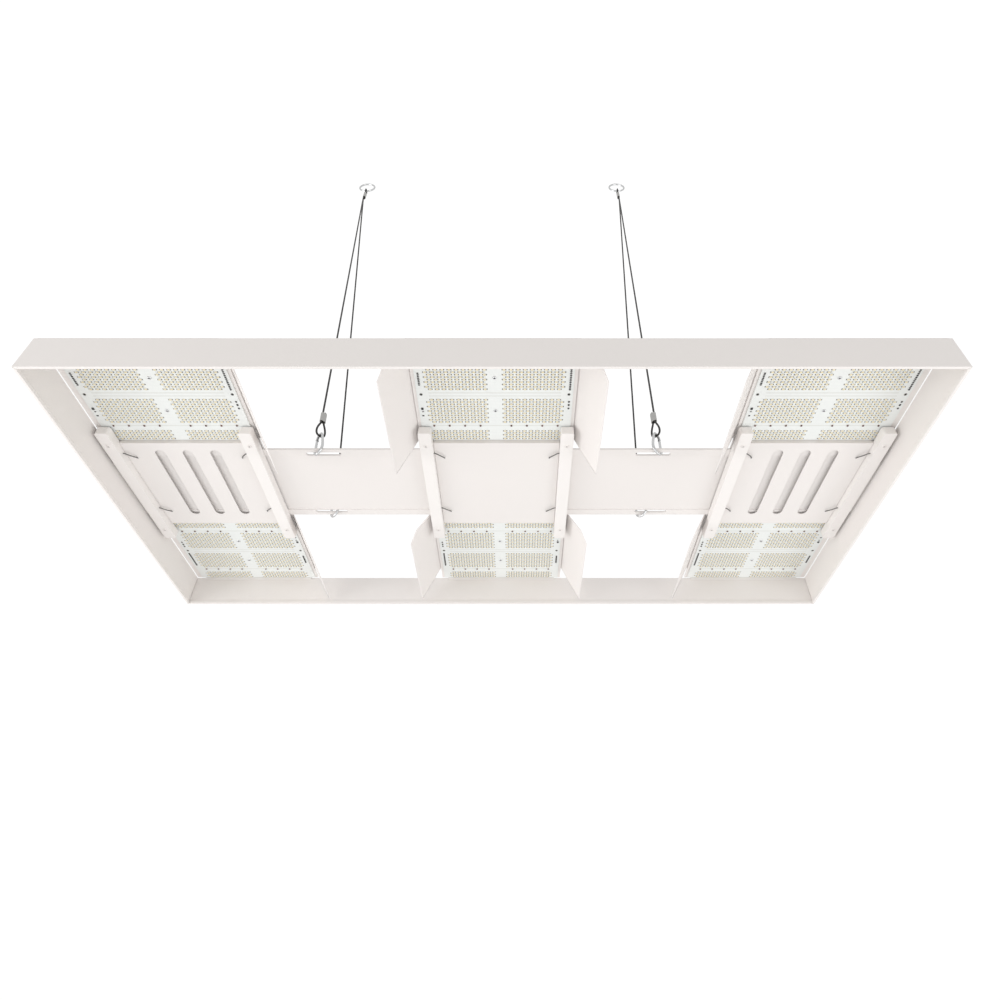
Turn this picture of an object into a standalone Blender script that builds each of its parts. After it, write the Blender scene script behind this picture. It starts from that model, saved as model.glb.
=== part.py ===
"""LED grow light on two wire hangers: a shallow sheet frame, a crossbar and three columns of LED boards.

Metres, +X along the frame, +Y from its near side to its far side, +Z up.
The origin is above the middle of the frame, at the height where the two hanger rings bear on their hooks.
Everything on the frame hangs under the empty "frame_rim", whose own origin is the middle of the
frame's lower rim, so heights below are measured up from that rim.
"""

import math

import bmesh
import bpy
import numpy as np
from mathutils import Matrix, Vector

GAP = 0.0003  # between touching pieces

# Frame
FRAME_LENGTH = 1.100
FRAME_DEPTH = 0.522
FRAME_HEIGHT = 0.054
WALL = 0.002
HEM_THICK = 0.0017
HEM_HEIGHT = 0.005

# Crossbar
BAR_DEPTH = 0.147
BAR_SHEET = 0.0015
BAR_WEB_Z = 0.0530
BAR_HEM = 0.0125
BAR_TAB_HEIGHT = 0.012
BAR_TAB_DEPTH = 0.110
SLOT_LENGTH = 0.050
SLOT_WIDTH = 0.0065
SLOT_Y = 0.06455
SLOT_PLACES = {"near_left": -0.247, "near_right": 0.2225, "far_left": -0.263, "far_right": 0.2385}

# Columns
COLUMN_PITCH = 0.437
PANEL_HALF = 0.106
PANEL_SHEET = 0.002
PANEL_FLANGE_HALF = 0.095
PANEL_FLANGE_HEIGHT = 0.0065
BOARD_HALF = 0.1015
BOARD_LENGTH = 0.1655
BOARD_THICK = 0.0016
BOARD_Z = 0.0533
COVER_HALF = 0.0879
COVER_DEPTH = 0.1806
COVER_Z = 0.0475
COVER_SHEET = 0.0012
VENT_PITCH = 0.039
VENT_LENGTH = 0.143
VENT_WIDTH = 0.0145
VENT_Y = -0.0045
RAIL_X = 0.0971
RAIL_WIDTH = 0.0178
RAIL_LENGTH = 0.236
RAIL_Z = 0.038
RAIL_DEPTH = BAR_WEB_Z - BAR_SHEET - GAP - RAIL_Z  # up to the crossbar's folded edges
RAIL_WALL = 0.0015

# Reflector wings, in the section across a column
WING_SHEET = 0.0014
WING_LIP_X = 0.0925
WING_FOLD_X = 0.1075
WING_EDGE_X = 0.1380
WING_EDGE_Z = 0.0065
WING_NEAR_Y = -0.248
WING_FAR_Y = 0.0755
WING_LENGTH = 0.176
WING_SLANT = 0.019
WING_CHAMFER_UP = 0.0155
WING_CHAMFER_ALONG = 0.015

# Driver and low-voltage leads
DRIVER_LENGTH = 0.250
DRIVER_WIDTH = 0.125
DRIVER_HEIGHT = 0.045
DRIVER_FOOT = 0.009
DRIVER_FOOT_THICK = 0.004
DRIVER_RIB = 0.0015
CAP_THICK = 0.012
CAP_INSET = 0.0015
OUTPUT_BLOCK = (0.040, 0.014, 0.016)
OUTPUT_Z = 0.021
LEAD_SPREAD = 0.010
LEAD_RADIUS = 0.003
KNOB_X = 0.040
KNOB_Z = 0.024
KNOB_RADIUS = 0.009
KNOB_LENGTH = 0.012
GLAND_X = -0.030
GLAND_Z = 0.022
BOX_SIZE = (0.050, 0.040, 0.018)
BOX_INNER_X = 0.367
BOX_Y = 0.030

# Hangers
WIRE_RADIUS = 0.0015
STRAND = 0.0019  # half the distance between the two strands in a ferrule
FERRULE_LENGTH = 0.019
FERRULE_HALF = (0.0048, 0.0030)
APEX_X = {"left": -0.3393, "right": 0.2732}
APEX_Z = 0.981
RING_RADIUS = 0.018
RING_WIRE = 0.002
EYE_RADIUS = 0.005
HOOK_PLACES = {"near_left": -0.2527, "near_right": 0.2275, "far_left": -0.2601, "far_right": 0.2253}
HOOK_Y = 0.0708
HOOK_TURN = math.radians(45)
HOOK_BASE_Z = 0.0472  # centre of the wire at the lowest point of the lower bow

# Snap hook, in its own plane: u across, w up from the lowest point of the wire's centre line
HOOK_WIRE = 0.002
BOW = 0.0095
TOP_BOW = 0.006
TOP_BOW_W = 0.038
TENON_HALF_U = 0.0016
TENON_HALF_N = 0.0007
PIVOT_W = 0.0352
GATE_TOP_W = 0.0367
GATE_BASE_W = 0.0116
GATE_RADIUS = 0.0019
GATE_FORK_HALF = 0.0011
GATE_FORK_W = 0.0320
NOSE_W = 0.0111

# Heights of the hanger's top, up from the rim
EYE_CENTRE = APEX_Z + FERRULE_LENGTH / 2 + 0.013
RING_FOOT = EYE_CENTRE + EYE_RADIUS - WIRE_RADIUS - RING_WIRE - GAP
RING_CENTRE = RING_FOOT + RING_RADIUS
DROP = RING_CENTRE + RING_RADIUS - RING_WIRE


# ---------------------------------------------------------------- helpers

def clear_scene():
    for thing in list(bpy.data.objects):
        bpy.data.objects.remove(thing, do_unlink=True)


def material(name, colour, roughness, metallic=0.0):
    made = bpy.data.materials.new(name)
    made.use_nodes = True
    shader = made.node_tree.nodes["Principled BSDF"]
    shader.inputs["Base Color"].default_value = (*colour, 1.0)
    shader.inputs["Roughness"].default_value = roughness
    shader.inputs["Metallic"].default_value = metallic
    return made


def add_object(name, mesh, parent, finish=None, smooth_angle=None):
    made = bpy.data.objects.new(name, mesh)
    bpy.context.collection.objects.link(made)
    made.parent = parent
    if finish and not mesh.materials:
        mesh.materials.append(finish)
    if smooth_angle:
        mesh.shade_smooth()
        mesh.set_sharp_from_angle(angle=math.radians(smooth_angle))
    return made


def mesh_from(bm, name):
    bmesh.ops.recalc_face_normals(bm, faces=bm.faces)
    mesh = bpy.data.meshes.new(name)
    bm.to_mesh(mesh)
    bm.free()
    return mesh


def box_mesh(name, low, high):
    bm = bmesh.new()
    bmesh.ops.create_cube(bm, size=1.0)
    low, high = Vector(low), Vector(high)
    size = high - low
    bmesh.ops.transform(bm, matrix=Matrix.Diagonal((*size, 1.0)), verts=bm.verts)
    bmesh.ops.translate(bm, vec=(low + high) / 2, verts=bm.verts)
    return mesh_from(bm, name)


def prism_mesh(name, outline, low, high, place):
    """An outline of (a, b) points carried from low to high; place(a, b, t) gives the corner."""
    bm = bmesh.new()
    ends = [[bm.verts.new(place(a, b, t)) for a, b in outline] for t in (low, high)]
    bm.faces.new(ends[0])
    bm.faces.new(list(reversed(ends[1])))
    for i in range(len(outline)):
        j = (i + 1) % len(outline)
        bm.faces.new((ends[0][i], ends[1][i], ends[1][j], ends[0][j]))
    return mesh_from(bm, name)


def stadium(length, width, steps=8):
    """A slot's outline, long in its first direction, with round ends."""
    reach, radius = (length - width) / 2, width / 2
    turns = [math.pi * i / steps - math.pi / 2 for i in range(steps + 1)]
    right = [(reach + radius * math.cos(t), radius * math.sin(t)) for t in turns]
    return right + [(-x, -y) for x, y in right]


def rounded_box(width, height, radius, steps=3):
    corners = []
    for quarter in range(4):
        cx = (width / 2 - radius) * (1 if quarter in (0, 3) else -1)
        cy = (height / 2 - radius) * (1 if quarter in (0, 1) else -1)
        for i in range(steps + 1):
            turn = math.pi / 2 * (quarter + i / steps)
            corners.append((cx + radius * math.cos(turn), cy + radius * math.sin(turn)))
    return corners


def tube_mesh(name, path, radius, sides, closed=False):
    """A round bar along a path that lies in one plane."""
    points = [Vector(p) for p in path]
    count = len(points)
    normal = (points[1] - points[0]).cross(points[count // 2] - points[0]).normalized()
    bm = bmesh.new()
    rings = []
    for i, point in enumerate(points):
        before = points[i - 1] if closed or i else point
        after = points[(i + 1) % count] if closed or i < count - 1 else point
        along = (after - before).normalized()
        side = along.cross(normal)
        turns = [2 * math.pi * k / sides for k in range(sides)]
        ring = [point + radius * (math.cos(t) * side + math.sin(t) * normal) for t in turns]
        rings.append([bm.verts.new(corner) for corner in ring])
    for i in range(count if closed else count - 1):
        first, second = rings[i], rings[(i + 1) % count]
        for k in range(sides):
            j = (k + 1) % sides
            bm.faces.new((first[k], first[j], second[j], second[k]))
    if not closed:
        bm.faces.new(rings[0])
        bm.faces.new(list(reversed(rings[-1])))
    return mesh_from(bm, name)


def cylinder_mesh(name, radius, length, sides=20):
    """A cylinder from z = 0 to z = length."""
    bm = bmesh.new()
    bmesh.ops.create_cone(bm, cap_ends=True, segments=sides, radius1=radius, radius2=radius, depth=length)
    bmesh.ops.translate(bm, vec=(0, 0, length / 2), verts=bm.verts)
    return mesh_from(bm, name)


def soften(thing, width, segments=2):
    """A small rolled edge."""
    bevel = thing.modifiers.new("edge", "BEVEL")
    bevel.width = width
    bevel.segments = segments
    bevel.limit_method = "ANGLE"
    bevel.angle_limit = math.radians(40)


def boolean(thing, tool, operation):
    tool.hide_render = True
    tool.display_type = "WIRE"
    modifier = thing.modifiers.new(operation.lower(), "BOOLEAN")
    modifier.operation = operation
    modifier.object = tool


def y_sign(name):
    return -1 if name.startswith("near") else 1


def apex(name):
    """Where a rope's two strands meet, in its top ferrule."""
    return Vector((APEX_X[name.split("_")[-1]], 0, APEX_Z))


# ---------------------------------------------------------------- frame and crossbar

def wall_mesh(name, length):
    """A wall with its outer face on y = 0 and its ends mitred at 45 degrees."""
    inner = WALL + HEM_THICK
    section = [
        (0, 0), (inner, 0), (inner, HEM_HEIGHT), (WALL, HEM_HEIGHT), (WALL, FRAME_HEIGHT), (0, FRAME_HEIGHT)
    ]
    mitre_gap = GAP * 0.75

    def place(y, z, end):
        return (end * (length / 2 - y - mitre_gap), y, z)

    return prism_mesh(name, section, -1, 1, place)


def build_frame(rim, white):
    places = {
        "wall_near": (FRAME_LENGTH, (0, -FRAME_DEPTH / 2, 0), 0),
        "wall_far": (FRAME_LENGTH, (0, FRAME_DEPTH / 2, 0), 180),
        "wall_left": (FRAME_DEPTH, (-FRAME_LENGTH / 2, 0, 0), -90),
        "wall_right": (FRAME_DEPTH, (FRAME_LENGTH / 2, 0, 0), 90),
    }
    for name, (length, location, turn) in places.items():
        wall = add_object(name, wall_mesh(name, length), rim, white)
        wall.location = location
        wall.rotation_euler = (0, 0, math.radians(turn))
        soften(wall, 0.0005)


def build_crossbar(rim, white):
    half, top = BAR_DEPTH / 2, BAR_WEB_Z + BAR_SHEET
    low = BAR_WEB_Z - BAR_SHEET
    section = [
        (-half, low), (-half + BAR_HEM, low), (-half + BAR_HEM, BAR_WEB_Z), (half - BAR_HEM, BAR_WEB_Z),
        (half - BAR_HEM, low), (half, low), (half, top), (-half, top),
    ]
    reach = FRAME_LENGTH / 2 - WALL - GAP
    bar = add_object(
        "crossbar", prism_mesh("crossbar", section, -reach, reach, lambda y, z, x: (x, y, z)), rim, white
    )
    soften(bar, 0.0004)
    for side in (-1, 1):
        tab = add_object(
            f"cut_tab_{side}",
            box_mesh(
                "tab",
                (-BAR_SHEET / 2, -BAR_TAB_DEPTH / 2, top - 0.0004 - BAR_TAB_HEIGHT),
                (BAR_SHEET / 2, BAR_TAB_DEPTH / 2, top - 0.0004),
            ),
            rim,
        )
        tab.location.x = side * (reach - BAR_SHEET / 2 - 0.0001)
        boolean(bar, tab, "UNION")
    for name, x in SLOT_PLACES.items():
        outline = stadium(SLOT_LENGTH, SLOT_WIDTH)
        slot = add_object(
            f"cut_slot_{name}",
            prism_mesh("slot", outline, low - 0.004, top + 0.004, lambda a, b, z: (a, b, z)),
            rim,
        )
        slot.location = (x, y_sign(name) * SLOT_Y, 0)
        boolean(bar, slot, "DIFFERENCE")


# ---------------------------------------------------------------- columns

def panel_mesh(low_x, high_x):
    """A backing panel with a flange folded down inside the near and the far wall."""
    bottom = BOARD_Z + BOARD_THICK + GAP
    top = bottom + PANEL_SHEET
    reach = FRAME_DEPTH / 2 - WALL - GAP
    foot = top - PANEL_FLANGE_HEIGHT
    section = [
        (-reach, foot), (-reach + PANEL_SHEET, foot), (-reach + PANEL_SHEET, bottom),
        (reach - PANEL_SHEET, bottom), (reach - PANEL_SHEET, foot), (reach, foot), (reach, top), (-reach, top),
    ]
    return prism_mesh("panel", section, low_x, high_x, lambda y, z, x: (x, y, z))


def panel_top():
    return BOARD_Z + BOARD_THICK + GAP + PANEL_SHEET


def cover_mesh(name):
    """A centre cover: a plate with a lip folded up along its near and its far edge."""
    half = COVER_DEPTH / 2
    lip = BOARD_Z + BOARD_THICK
    plate = COVER_Z + COVER_SHEET
    section = [
        (-half, COVER_Z), (half, COVER_Z), (half, lip), (half - COVER_SHEET, lip),
        (half - COVER_SHEET, plate), (-half + COVER_SHEET, plate), (-half + COVER_SHEET, lip), (-half, lip),
    ]
    return prism_mesh(name, section, -COVER_HALF, COVER_HALF, lambda y, z, x: (x, y, z))


def rail_mesh():
    """A wire cover: a shallow trough, open towards the boards."""
    width, length = RAIL_WIDTH, RAIL_LENGTH
    outer = rounded_box(width, length, 0.003)
    inner = rounded_box(width - 2 * RAIL_WALL, length - 2 * RAIL_WALL, 0.0015)
    bm = bmesh.new()
    foot, ledge, top = 0.0, RAIL_WALL, RAIL_DEPTH
    loops = []
    for outline, z in ((outer, foot), (outer, top), (inner, top), (inner, ledge)):
        loops.append([bm.verts.new((x, y, z)) for x, y in outline])
    for first, second in zip(loops, loops[1:]):
        for i in range(len(first)):
            j = (i + 1) % len(first)
            bm.faces.new((first[i], first[j], second[j], second[i]))
    bm.faces.new(loops[0])
    bm.faces.new(loops[-1])
    return mesh_from(bm, "rail")


def wing_mesh(side):
    """A reflector wing: a lip on top of the panel and a flap that flares out and down, cut at both ends."""
    top = panel_top() + GAP + WING_SHEET
    slope = (WING_EDGE_X - WING_FOLD_X) / (top - WING_EDGE_Z)
    across = WING_SHEET * math.hypot(1, slope)
    under = top - WING_SHEET
    inner_fold = WING_FOLD_X - across + slope * WING_SHEET
    section = [
        (side * WING_LIP_X, top), (side * WING_FOLD_X, top), (side * WING_EDGE_X, WING_EDGE_Z),
        (side * (WING_EDGE_X - across), WING_EDGE_Z), (side * inner_fold, under), (side * WING_LIP_X, under),
    ]
    bm = bmesh.new()
    bm.from_mesh(prism_mesh("wing", section, 0, WING_LENGTH, lambda x, z, y: (x, y, z)))
    cuts = [
        # the end away from the near wall leans back towards its top
        ((0, WING_LENGTH, WING_EDGE_Z), (0, top - WING_EDGE_Z, WING_SLANT)),
        # the lower near corner is clipped
        ((0, WING_CHAMFER_ALONG, WING_EDGE_Z), (0, -WING_CHAMFER_UP, -WING_CHAMFER_ALONG)),
    ]
    for point, normal in cuts:
        everything = bm.verts[:] + bm.edges[:] + bm.faces[:]
        cut = bmesh.ops.bisect_plane(bm, geom=everything, plane_co=point, plane_no=normal, clear_outer=True)
        edges = [e for e in cut["geom_cut"] if isinstance(e, bmesh.types.BMEdge)]
        bmesh.ops.contextual_create(bm, geom=edges)
    return mesh_from(bm, "wing")


def build_columns(rim, finishes):
    white, board_white = finishes["white"], finishes["board"]
    rail = rail_mesh()
    wall_side = FRAME_LENGTH / 2 - WALL - GAP - COLUMN_PITCH
    wings = {side: wing_mesh(side) for side in (-1, 1)}
    board = box_mesh(
        "board", (-BOARD_HALF, -BOARD_LENGTH / 2, 0), (BOARD_HALF, BOARD_LENGTH / 2, BOARD_THICK)
    )
    board_y = FRAME_DEPTH / 2 - WALL - GAP - PANEL_SHEET - GAP - BOARD_LENGTH / 2
    for column, x, wing_sides in (("left", -1, (1,)), ("middle", 0, (-1, 1)), ("right", 1, (-1,))):
        middle = x * COLUMN_PITCH
        low_x = -wall_side if x < 0 else -PANEL_HALF
        high_x = wall_side if x > 0 else PANEL_HALF
        back = add_object(f"panel_{column}", panel_mesh(low_x, high_x), rim, white)
        back.location.x = middle
        flange_cuts(back, rim, column, middle)
        for half, y_side in (("near", -1), ("far", 1)):
            plate = add_object(f"board_{column}_{half}", board, rim, board_white)
            plate.location = (middle, y_side * board_y, BOARD_Z)
        cover = add_object(f"cover_{column}", cover_mesh(f"cover_{column}"), rim, white)
        cover.location.x = middle
        soften(cover, 0.0003)
        if x:
            cut_vents(cover, rim, column, middle)
        for rail_side, side in (("a", -1), ("b", 1)):
            trough = add_object(f"rail_{column}_{rail_side}", rail, rim, white)
            trough.location = (middle + side * RAIL_X, 0, RAIL_Z)
            soften(trough, 0.0004)
        for side in wing_sides:
            for half, y in (("near", WING_NEAR_Y), ("far", WING_FAR_Y)):
                facing = "left" if side < 0 else "right"
                wing = add_object(f"wing_{column}_{facing}_{half}", wings[side], rim, white)
                wing.location = (middle, y, 0)
                soften(wing, 0.0003, 1)


def flange_cuts(panel, rim, column, middle):
    """The flanges are narrower than the panel, so that the wings pass beside them."""
    bottom = BOARD_Z + BOARD_THICK + GAP
    reach = FRAME_DEPTH / 2
    for side in (-1, 1):
        low_x, high_x = sorted((side * PANEL_FLANGE_HALF, side * (PANEL_HALF + 0.01)))
        notch = add_object(
            f"cut_flange_{column}_{side}",
            box_mesh("notch", (low_x, -reach, bottom - 0.03), (high_x, reach, bottom + 0.00001)),
            rim,
        )
        notch.location.x = middle
        boolean(panel, notch, "DIFFERENCE")


def cut_vents(cover, rim, column, middle):
    for step in (-1, 0, 1):
        vent = add_object(
            f"cut_vent_{column}_{step}",
            prism_mesh(
                "vent", stadium(VENT_LENGTH, VENT_WIDTH), COVER_Z - 0.003, COVER_Z + 0.003,
                lambda a, b, z: (b, a, z),
            ),
            rim,
        )
        vent.location = (middle + step * VENT_PITCH, VENT_Y, 0)
        boolean(cover, vent, "DIFFERENCE")


# ---------------------------------------------------------------- driver and leads

def driver_outline():
    """The housing's section: feet, ribbed sides and a ribbed top."""
    half, top = DRIVER_WIDTH / 2, DRIVER_HEIGHT
    foot = half + DRIVER_FOOT
    points = [(foot, 0), (foot, DRIVER_FOOT_THICK), (half, DRIVER_FOOT_THICK)]
    ribs = 5
    pitch = (top - DRIVER_FOOT_THICK) / (2 * ribs)
    for i in range(ribs):
        z = DRIVER_FOOT_THICK + pitch * (2 * i + 1)
        points += [(half, z), (half - DRIVER_RIB, z), (half - DRIVER_RIB, z + pitch)]
        if i < ribs - 1:
            points.append((half, z + pitch))
    grooves = 7
    step = 2 * (half - 0.006) / (2 * grooves - 1)
    points += [(half - DRIVER_RIB, top)]
    for i in range(grooves):
        x = half - 0.006 - 2 * i * step
        points += [(x, top), (x, top - DRIVER_RIB), (x - step, top - DRIVER_RIB), (x - step, top)]
    left_side = [(-x, z) for x, z in reversed(points[: points.index((half - DRIVER_RIB, top)) + 1])]
    return points + left_side


def build_driver(rim, finishes):
    base = panel_top() + GAP
    half = DRIVER_LENGTH / 2
    housing = add_object(
        "driver_housing",
        prism_mesh("driver_housing", driver_outline(), -half, half, lambda x, z, y: (x, y, z)),
        rim,
        finishes["driver"],
    )
    housing.location.z = base
    cap_outline = rounded_box(DRIVER_WIDTH - 2 * CAP_INSET, DRIVER_HEIGHT - 2 * CAP_INSET, 0.004)
    cap = prism_mesh("driver_cap", cap_outline, 0, CAP_THICK, lambda x, z, y: (x, y, z + DRIVER_HEIGHT / 2))
    for name, side in (("driver_cap_mains", -1), ("driver_cap_output", 1)):
        plate = add_object(name, cap, rim, finishes["driver"], 40)
        plate.location = (0, side * (half + GAP) - (CAP_THICK if side < 0 else 0), base)
        soften(plate, 0.0008)
    face = half + 2 * GAP + CAP_THICK
    block = add_object(
        "output_block",
        box_mesh(
            "output_block",
            (-OUTPUT_BLOCK[0] / 2, 0, -OUTPUT_BLOCK[2] / 2),
            (OUTPUT_BLOCK[0] / 2, OUTPUT_BLOCK[1], OUTPUT_BLOCK[2] / 2),
        ),
        rim,
        finishes["black"],
    )
    block.location = (0, face, base + OUTPUT_Z)
    soften(block, 0.0015)
    build_knob(rim, finishes["black"], face, base)
    build_gland(rim, finishes["black"], face, base)


def build_knob(rim, black, face, base):
    """The dimmer knob: it turns about its own axis, which points along +Y."""
    knob = add_object("dimmer_knob", cylinder_mesh("dimmer_knob", KNOB_RADIUS, KNOB_LENGTH, 28), rim, black, 40)
    knob.rotation_euler = (math.radians(-90), math.radians(-45), 0)
    knob.location = (KNOB_X, face, base + KNOB_Z)
    soften(knob, 0.0010)
    pointer = add_object(
        "cut_pointer",
        box_mesh("pointer", (-0.0006, 0.003, KNOB_LENGTH - 0.0008), (0.0006, KNOB_RADIUS + 0.002, KNOB_LENGTH + 0.002)),
        knob,
    )
    boolean(knob, pointer, "DIFFERENCE")


def build_gland(rim, black, face, base):
    """The mains inlet gland: a hexagonal body and a round nut with the cable's hole, one turned piece."""
    profile = [(0.0105, 0.0), (0.0105, 0.007), (0.0090, 0.0075), (0.0090, 0.016), (0.0060, 0.020), (0.0038, 0.020)]
    sides = 24
    bm = bmesh.new()
    rings = []
    for radius, height in profile + [(0.0038, 0.004)]:
        turns = [2 * math.pi * i / sides for i in range(sides)]
        rings.append([bm.verts.new((radius * math.cos(t), radius * math.sin(t), height)) for t in turns])
    for first, second in zip(rings, rings[1:]):
        for i in range(sides):
            j = (i + 1) % sides
            bm.faces.new((first[i], first[j], second[j], second[i]))
    bm.faces.new(rings[0])
    bm.faces.new(rings[-1])
    gland = add_object("mains_gland", mesh_from(bm, "mains_gland"), rim, black, 35)
    gland.rotation_euler = (math.radians(90), 0, 0)
    gland.location = (GLAND_X, -face, base + GLAND_Z)


def lead_route(side):
    """The low-voltage lead from the driver's output block, back beside the driver and out along the bar."""
    panel_z = panel_top() + LEAD_RADIUS + GAP
    bar_z = BAR_WEB_Z + BAR_SHEET + LEAD_RADIUS + GAP
    start = DRIVER_LENGTH / 2 + 3 * GAP + CAP_THICK + OUTPUT_BLOCK[1]
    exit_z = panel_top() + GAP + OUTPUT_Z
    route = [
        (LEAD_SPREAD, start, exit_z), (LEAD_SPREAD, start + 0.008, exit_z - 0.001),
        (0.0125, start + 0.018, exit_z - 0.008), (0.021, start + 0.027, panel_z + 0.005),
        (0.036, start + 0.031, panel_z + 0.001), (0.053, start + 0.028, panel_z),
        (0.069, start + 0.017, panel_z), (0.079, start + 0.001, panel_z), (0.0825, start - 0.018, panel_z),
        (0.0825, 0.105, panel_z), (0.0825, 0.080, panel_z), (0.0835, 0.060, panel_z),
        (0.0880, 0.044, panel_z), (0.0975, 0.034, panel_z), (0.110, BOX_Y, panel_z),
        (0.122, BOX_Y, panel_z - 0.0010), (0.138, BOX_Y, bar_z), (0.170, BOX_Y, bar_z), (0.215, BOX_Y, bar_z),
        (0.260, BOX_Y, bar_z), (0.298, BOX_Y, bar_z), (0.314, BOX_Y, panel_z - 0.0010),
        (0.328, BOX_Y, panel_z + 0.0002), (0.345, BOX_Y, panel_z + 0.0010),
        (BOX_INNER_X - GAP, BOX_Y, panel_z + 0.0016),
    ]
    return [(side * x, y, z) for x, y, z in route]


def smooth_route(points, per_span):
    """Points along a Catmull-Rom curve through the given points."""
    given = [2 * np.array(points[0]) - np.array(points[1])] + [np.array(p) for p in points]
    given.append(2 * given[-1] - given[-2])
    curve = []
    for i in range(1, len(given) - 2):
        p0, p1, p2, p3 = given[i - 1 : i + 3]
        for k in range(per_span):
            t = k / per_span
            curve.append(
                0.5 * (2 * p1 + (p2 - p0) * t + (2 * p0 - 5 * p1 + 4 * p2 - p3) * t**2
                       + (3 * p1 - p0 - 3 * p2 + p3) * t**3)
            )
    curve.append(given[-2])
    return [tuple(p) for p in curve]


def tube_object(name, points, radius, resolution, parent, finish):
    curve = bpy.data.curves.new(name, "CURVE")
    curve.dimensions = "3D"
    curve.bevel_depth = radius
    curve.bevel_resolution = resolution
    curve.use_fill_caps = True
    spline = curve.splines.new("POLY")
    spline.points.add(len(points) - 1)
    for target, point in zip(spline.points, points):
        target.co = (*point, 1.0)
    curve.materials.append(finish)
    made = bpy.data.objects.new(name, curve)
    bpy.context.collection.objects.link(made)
    made.parent = parent
    return made


def build_leads(rim, finishes):
    base = panel_top() + GAP
    for name, side in (("left", -1), ("right", 1)):
        tube_object(
            f"lead_{name}", smooth_route(lead_route(side), 2), LEAD_RADIUS, 2, rim, finishes["black"]
        )
        width, depth, height = BOX_SIZE
        low_x = BOX_INNER_X if side > 0 else -BOX_INNER_X - width
        terminal = add_object(
            f"terminal_box_{name}",
            box_mesh("terminal_box", (0, -depth / 2, 0), (width, depth / 2, height)),
            rim,
            finishes["black"],
        )
        terminal.location = (low_x, BOX_Y, base)
        soften(terminal, 0.0015)


# ---------------------------------------------------------------- hangers

def hook_body_path():
    """The wire's centre line from the pivot end over the top bow and round the lower bow to the nose."""
    top_u = -BOW + TOP_BOW
    path = []
    for i in range(9):
        turn = math.pi * (1 - i / 8)
        path.append((top_u + TOP_BOW * math.cos(turn), TOP_BOW_W + TOP_BOW * math.sin(turn)))
    start_u, start_w = path[-1]
    bow_w = BOW
    for i in range(1, 4):
        share = i / 4
        bulge = 0.0010 * math.sin(math.pi * share)
        path.append((start_u + (BOW - start_u) * share + bulge, start_w + (bow_w - start_w) * share))
    for i in range(13):
        turn = -math.pi * i / 12
        path.append((BOW * math.cos(turn), bow_w + BOW * math.sin(turn)))
    path.append((-BOW, NOSE_W))
    return [(u, 0.0, w) for u, w in path]


def build_hook(name, frame, rim, steel):
    """One snap hook: the bent wire body with its tenon, and the forked gate that turns on the pivot."""
    body = add_object(f"hook_{name}", tube_mesh("hook", hook_body_path(), HOOK_WIRE, 12), rim, steel, 60)
    body.matrix_local = frame
    tenon = add_object(
        f"cut_tenon_{name}",
        box_mesh(
            "tenon",
            (-TENON_HALF_U, -TENON_HALF_N, PIVOT_W - 0.0023),
            (TENON_HALF_U, TENON_HALF_N, TOP_BOW_W + 0.001),
        ),
        body,
    )
    tenon.location.x = -BOW
    boolean(body, tenon, "UNION")

    gate_mesh = cylinder_mesh("gate", GATE_RADIUS, GATE_TOP_W - GATE_BASE_W, 14)
    gate_mesh.transform(Matrix.Translation((0, 0, GATE_BASE_W - PIVOT_W)))
    gate = add_object(f"gate_{name}", gate_mesh, rim, steel, 60)
    gate.matrix_local = frame @ Matrix.Translation((-BOW, 0, PIVOT_W))
    fork = add_object(
        f"cut_fork_{name}",
        box_mesh(
            "fork", (-0.004, -GATE_FORK_HALF, GATE_FORK_W - PIVOT_W), (0.004, GATE_FORK_HALF, 0.004)
        ),
        gate,
    )
    boolean(gate, fork, "DIFFERENCE")


def hook_frame(name):
    """Place and turn of a snap hook: w points at its hanger's apex, u towards the middle and the near wall."""
    x_side = 1 if name == "near_right" else -1
    base = Vector((HOOK_PLACES[name], y_sign(name) * HOOK_Y, HOOK_BASE_Z))
    up = (apex(name) - base).normalized()
    across = Vector((-x_side * math.cos(HOOK_TURN), -math.sin(HOOK_TURN), 0))
    across = (across - across.dot(up) * up).normalized()
    normal = up.cross(across)
    turn = Matrix((across, normal, up)).transposed()
    return Matrix.Translation(base) @ turn.to_4x4()


# The wire rope's eye round the top bow: (e across, h up) from the bow's wire, tail end first
EYE = [
    (STRAND, 0.0515), (STRAND, 0.0480), (STRAND, 0.0385), (STRAND, 0.0290), (0.0030, 0.0240), (0.0048, 0.0185),
    (0.0062, 0.0130), (0.0069, 0.0075), (0.0066, 0.0025), (0.0052, -0.0012), (0.0028, -0.0031), (0.0, -0.0038),
    (-0.0028, -0.0031), (-0.0052, -0.0012), (-0.0066, 0.0025), (-0.0069, 0.0075), (-0.0062, 0.0130),
    (-0.0048, 0.0185), (-0.0030, 0.0240), (-STRAND, 0.0290), (-STRAND, 0.0385), (-STRAND, 0.0480),
    (-STRAND, 0.0600), (-STRAND, 0.0850),
]
EYE_FERRULE = 0.0385  # height of the ferrule's middle above the bow's wire

# The same for the bend over the ring, from the ferrule up and over: (y, z above the ferrule's middle)
TOP_EYE = [
    (-STRAND, -0.0320), (-STRAND, -0.0120), (-STRAND, 0.0), (-STRAND, 0.0100), (-0.0028, 0.0135), (-0.0042, 0.0180),
    (-0.0050, 0.0225), (-0.0043, 0.0251), (-0.0025, 0.0268), (0.0, 0.0275), (0.0025, 0.0268), (0.0043, 0.0251),
    (0.0050, 0.0225), (0.0042, 0.0180), (0.0028, 0.0135), (STRAND, 0.0100), (STRAND, 0.0), (STRAND, -0.0120),
    (STRAND, -0.0320),
]


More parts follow.
